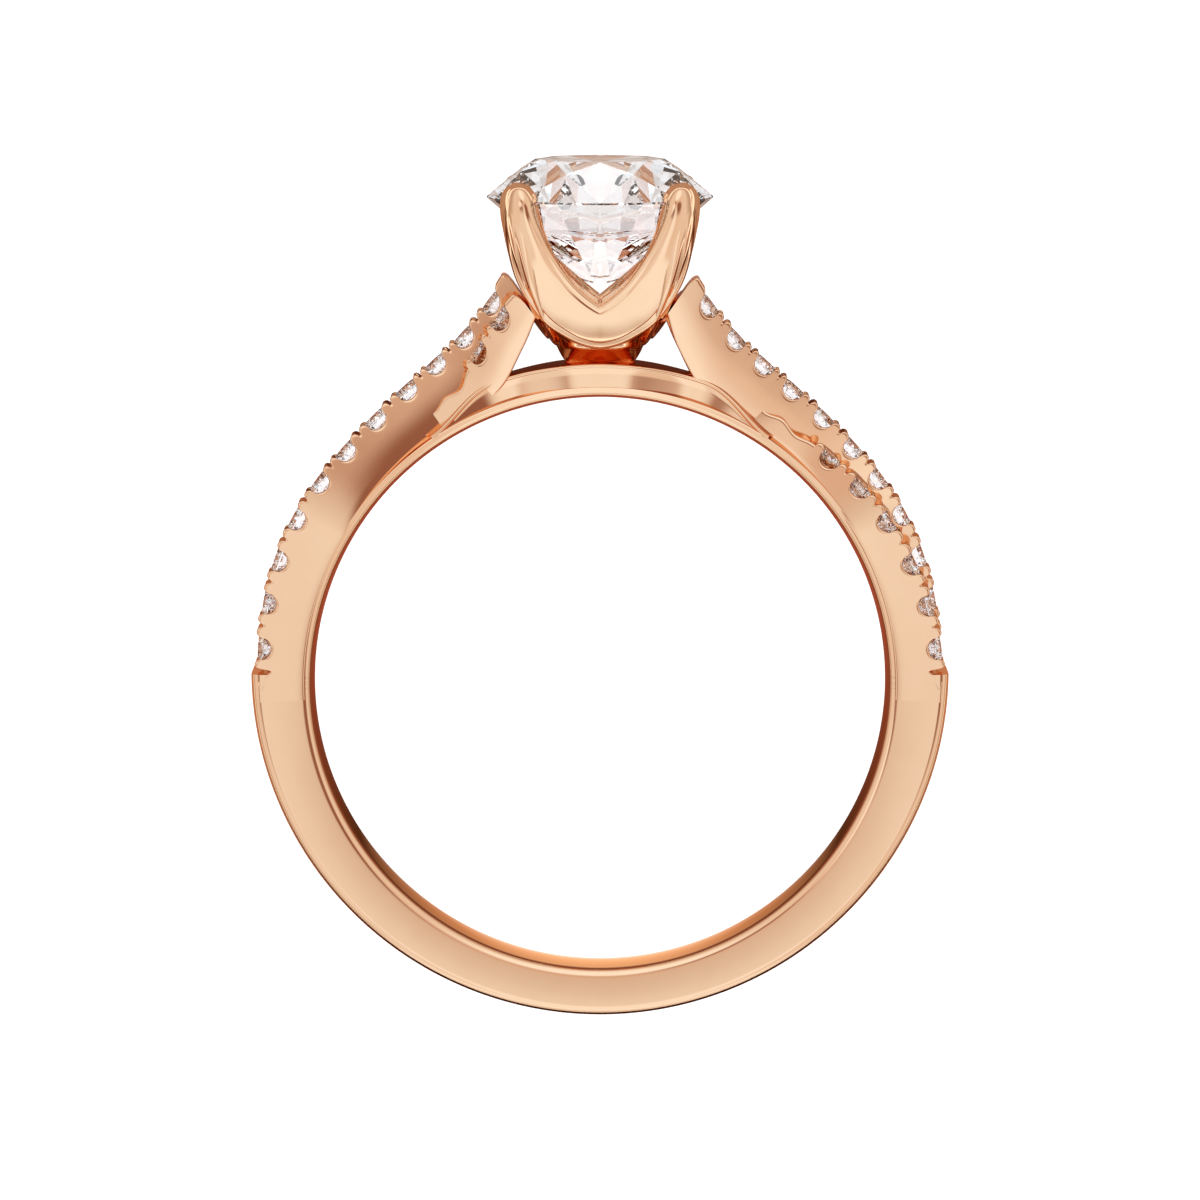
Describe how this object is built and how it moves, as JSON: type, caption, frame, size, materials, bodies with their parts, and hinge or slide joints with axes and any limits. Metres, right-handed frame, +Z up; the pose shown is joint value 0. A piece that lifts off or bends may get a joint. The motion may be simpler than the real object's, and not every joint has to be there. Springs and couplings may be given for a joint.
{
  "type": "twisted shank ring",
  "caption": "Finger ring lying on its side: twisted pave shoulders over a plain lower shank, and a round brilliant in a petal head on a gallery bridge.",
  "frame": {"origin": "bottom centre of the box of the ring lying on its side, on the surface it lies on", "axes": "+Z up from the surface, +Y from the plain lower shank to the centre stone, +X to the ring's right"},
  "size_m": [0.02, 0.025, 0.0065],
  "materials": {
    "rose_gold": "polished rose gold",
    "centre_diamond": "clear cut diamond",
    "small_diamond": "clear cut small diamonds"
  },
  "bodies": {
    "root": {"ring_body": "rose_gold", "centre_stone": "centre_diamond", "left_small_stones": "small_diamond", "right_small_stones": "small_diamond"}
  },
  "joints": []
}
